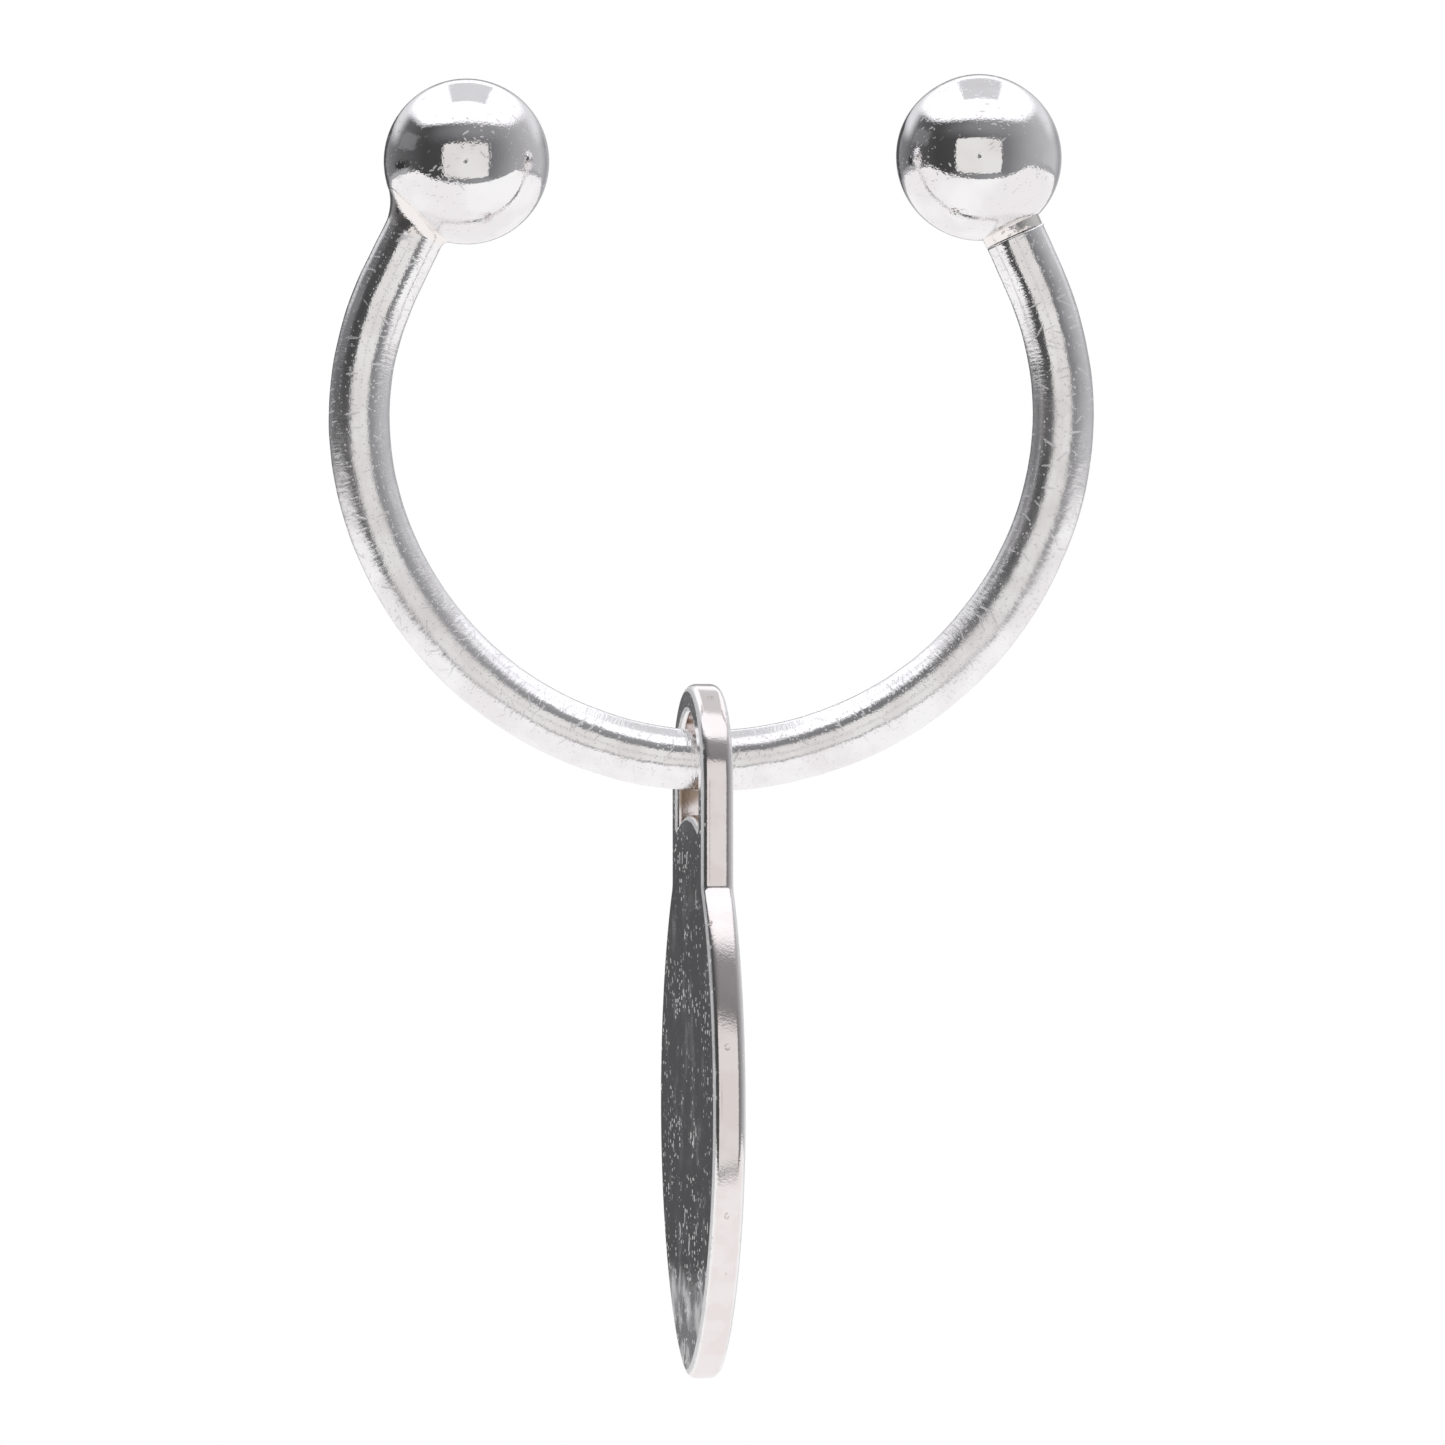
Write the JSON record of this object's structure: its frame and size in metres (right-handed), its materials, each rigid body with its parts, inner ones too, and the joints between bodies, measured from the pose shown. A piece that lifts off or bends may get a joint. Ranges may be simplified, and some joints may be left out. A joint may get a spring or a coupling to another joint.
{
  "type": "horseshoe key ring with hanging tag",
  "caption": "Open horseshoe key ring of polished round wire with a ball at each end, one of which unscrews, and a pointed oval tag hanging on the wire.",
  "frame": {"origin": "on the wire's centreline at the lowest point of the bow, where the tag hangs", "axes": "the bow lies in the XZ plane with its mouth at +Z, the tag hangs towards -Z, +X runs along the wire at the origin, and the screw ball is on the +X side"},
  "size_m": [0.0351, 0.016, 0.0598],
  "materials": {
    "bow_wire": "polished sterling silver, fine cross scratches from keys",
    "fixed_ball": "mirror polished sterling silver",
    "solder_fillet": "silver solder, slightly warm and pitted",
    "threaded_stud": "cut thread, bright",
    "ball_bush": "turned silver, slightly warm",
    "screw_ball": "mirror polished sterling silver",
    "key_tag": "mirror polished sterling silver, faces lightly scratched"
  },
  "bodies": {
    "bow": {"bow_wire": "bow_wire", "fixed_ball": "fixed_ball", "solder_fillet": "solder_fillet", "threaded_stud": "threaded_stud"},
    "tag": {"key_tag": "key_tag"},
    "ball_carrier": {"ball_bush": "ball_bush"},
    "ball": {"screw_ball": "screw_ball"}
  },
  "joints": [
    {"name": "tag_swing", "type": "hinge", "parent": "bow", "child": "tag", "pos_m": [0, 0, 0], "axis": [1, 0, 0], "continuous": true},
    {"name": "ball_travel", "type": "slide", "parent": "bow", "child": "ball_carrier", "axis": [-0.4115, 0, 0.9114], "range_m": [0, 0.0032]},
    {"name": "ball_unscrew", "type": "hinge", "parent": "ball_carrier", "child": "ball", "pos_m": [0.0123, 0, 0.02767], "axis": [-0.4115, 0, 0.9114], "range_deg": [0, 2880]}
  ],
  "couplings": [
    {"joint": "ball_unscrew", "follows": "ball_travel", "rad_per_m": 15708}
  ]
}
